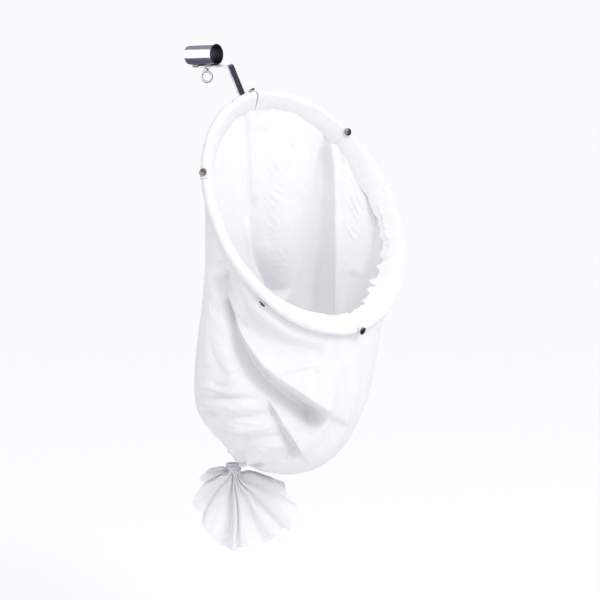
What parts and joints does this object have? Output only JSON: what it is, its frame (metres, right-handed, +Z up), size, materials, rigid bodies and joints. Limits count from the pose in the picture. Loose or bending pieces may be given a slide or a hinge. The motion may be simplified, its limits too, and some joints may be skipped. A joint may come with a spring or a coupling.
{
  "type": "hoop catching bag",
  "caption": "Long cotton bag on a round steel hoop, with a strap bracket and a clamp socket for a pole. The lower end is gathered and tied.",
  "frame": {"origin": "middle of the pole socket's bore", "axes": "+X along the bore towards the bag's mouth, +Z up, so the cloth hangs along -Z; the pole leaves along -X"},
  "size_m": [0.2675, 0.3771, 0.724],
  "materials": {
    "socket_chrome": "bright plated, smooth",
    "strap_zinc": "bright zinc, faint rolling marks",
    "weld": "brown heat tint, lumpy",
    "screw_zinc": "bright zinc",
    "rod_steel": "dark drawn steel",
    "cotton": "plain weave, matt",
    "stud_nickel": "brownish nickel, worn",
    "tie_cord": "thin light grey twisted cord"
  },
  "bodies": {
    "root": {"pole_socket": "socket_chrome", "strap_bracket": "strap_zinc", "socket_welds": "weld", "hoop_welds": "weld", "hoop_rod": "rod_steel", "casing_flap_1": "cotton", "casing_flap_2": "cotton", "casing_flap_3": "cotton", "casing_flap_4": "cotton", "casing_flap_5": "cotton", "casing_flap_6": "cotton", "bag_panel_1": "cotton", "bag_panel_2": "cotton", "bag_panel_3": "cotton", "bag_panel_4": "cotton", "bag_panel_5": "cotton", "bag_panel_6": "cotton", "stud_post_1": "stud_nickel", "stud_post_2": "stud_nickel", "stud_post_3": "stud_nickel", "stud_post_4": "stud_nickel", "stud_post_5": "stud_nickel", "stud_post_6": "stud_nickel"},
    "clamp_washer": {"clamp_washer": "screw_zinc"},
    "clamp_screw": {"clamp_eye_screw": "screw_zinc"},
    "snap_1": {"snap_cap_1": "stud_nickel", "flap_tab_1": "cotton"},
    "snap_2": {"snap_cap_2": "stud_nickel", "flap_tab_2": "cotton"},
    "snap_3": {"snap_cap_3": "stud_nickel", "flap_tab_3": "cotton"},
    "snap_4": {"snap_cap_4": "stud_nickel", "flap_tab_4": "cotton"},
    "snap_5": {"snap_cap_5": "stud_nickel", "flap_tab_5": "cotton"},
    "snap_6": {"snap_cap_6": "stud_nickel", "flap_tab_6": "cotton"},
    "tail": {"gathered_neck": "cotton", "bag_tail": "cotton", "tie_wraps": "tie_cord", "tie_knot": "tie_cord"}
  },
  "joints": [
    {"name": "clamp_travel", "type": "slide", "parent": "root", "child": "clamp_washer", "axis": [0, -0.225, 0.9744], "range_m": [-0.002, 0.002]},
    {"name": "clamp_turn", "type": "hinge", "parent": "clamp_washer", "child": "clamp_screw", "pos_m": [0, 0.00477, -0.02066], "axis": [0, -0.225, 0.9744], "range_deg": [-700, 700]},
    {"name": "snap_1_pull", "type": "slide", "parent": "root", "child": "snap_1", "axis": [-0.6215, -0.0751, 0.7798], "range_m": [0, 0.004]},
    {"name": "snap_2_pull", "type": "slide", "parent": "root", "child": "snap_2", "axis": [0.2302, -0.8473, 0.4785], "range_m": [0, 0.004]},
    {"name": "snap_3_pull", "type": "slide", "parent": "root", "child": "snap_3", "axis": [-0.8441, -0.0338, -0.5352], "range_m": [0, 0.004]},
    {"name": "snap_4_pull", "type": "slide", "parent": "root", "child": "snap_4", "axis": [0.9144, -0.016, -0.4045], "range_m": [0, 0.004]},
    {"name": "snap_5_pull", "type": "slide", "parent": "root", "child": "snap_5", "axis": [-0.8394, 0.2612, -0.4767], "range_m": [0, 0.004]},
    {"name": "snap_6_pull", "type": "slide", "parent": "root", "child": "snap_6", "axis": [0.876, -0.4757, 0.0798], "range_m": [0, 0.004]},
    {"name": "tail_swing", "type": "hinge", "parent": "root", "child": "tail", "pos_m": [0.066, -0.016, -0.583], "axis": [0.7931, 0.6091, 0], "range_deg": [-12, 12]}
  ],
  "couplings": [
    {"joint": "clamp_travel", "follows": "clamp_turn", "m_per_rad": 0.00015915}
  ]
}
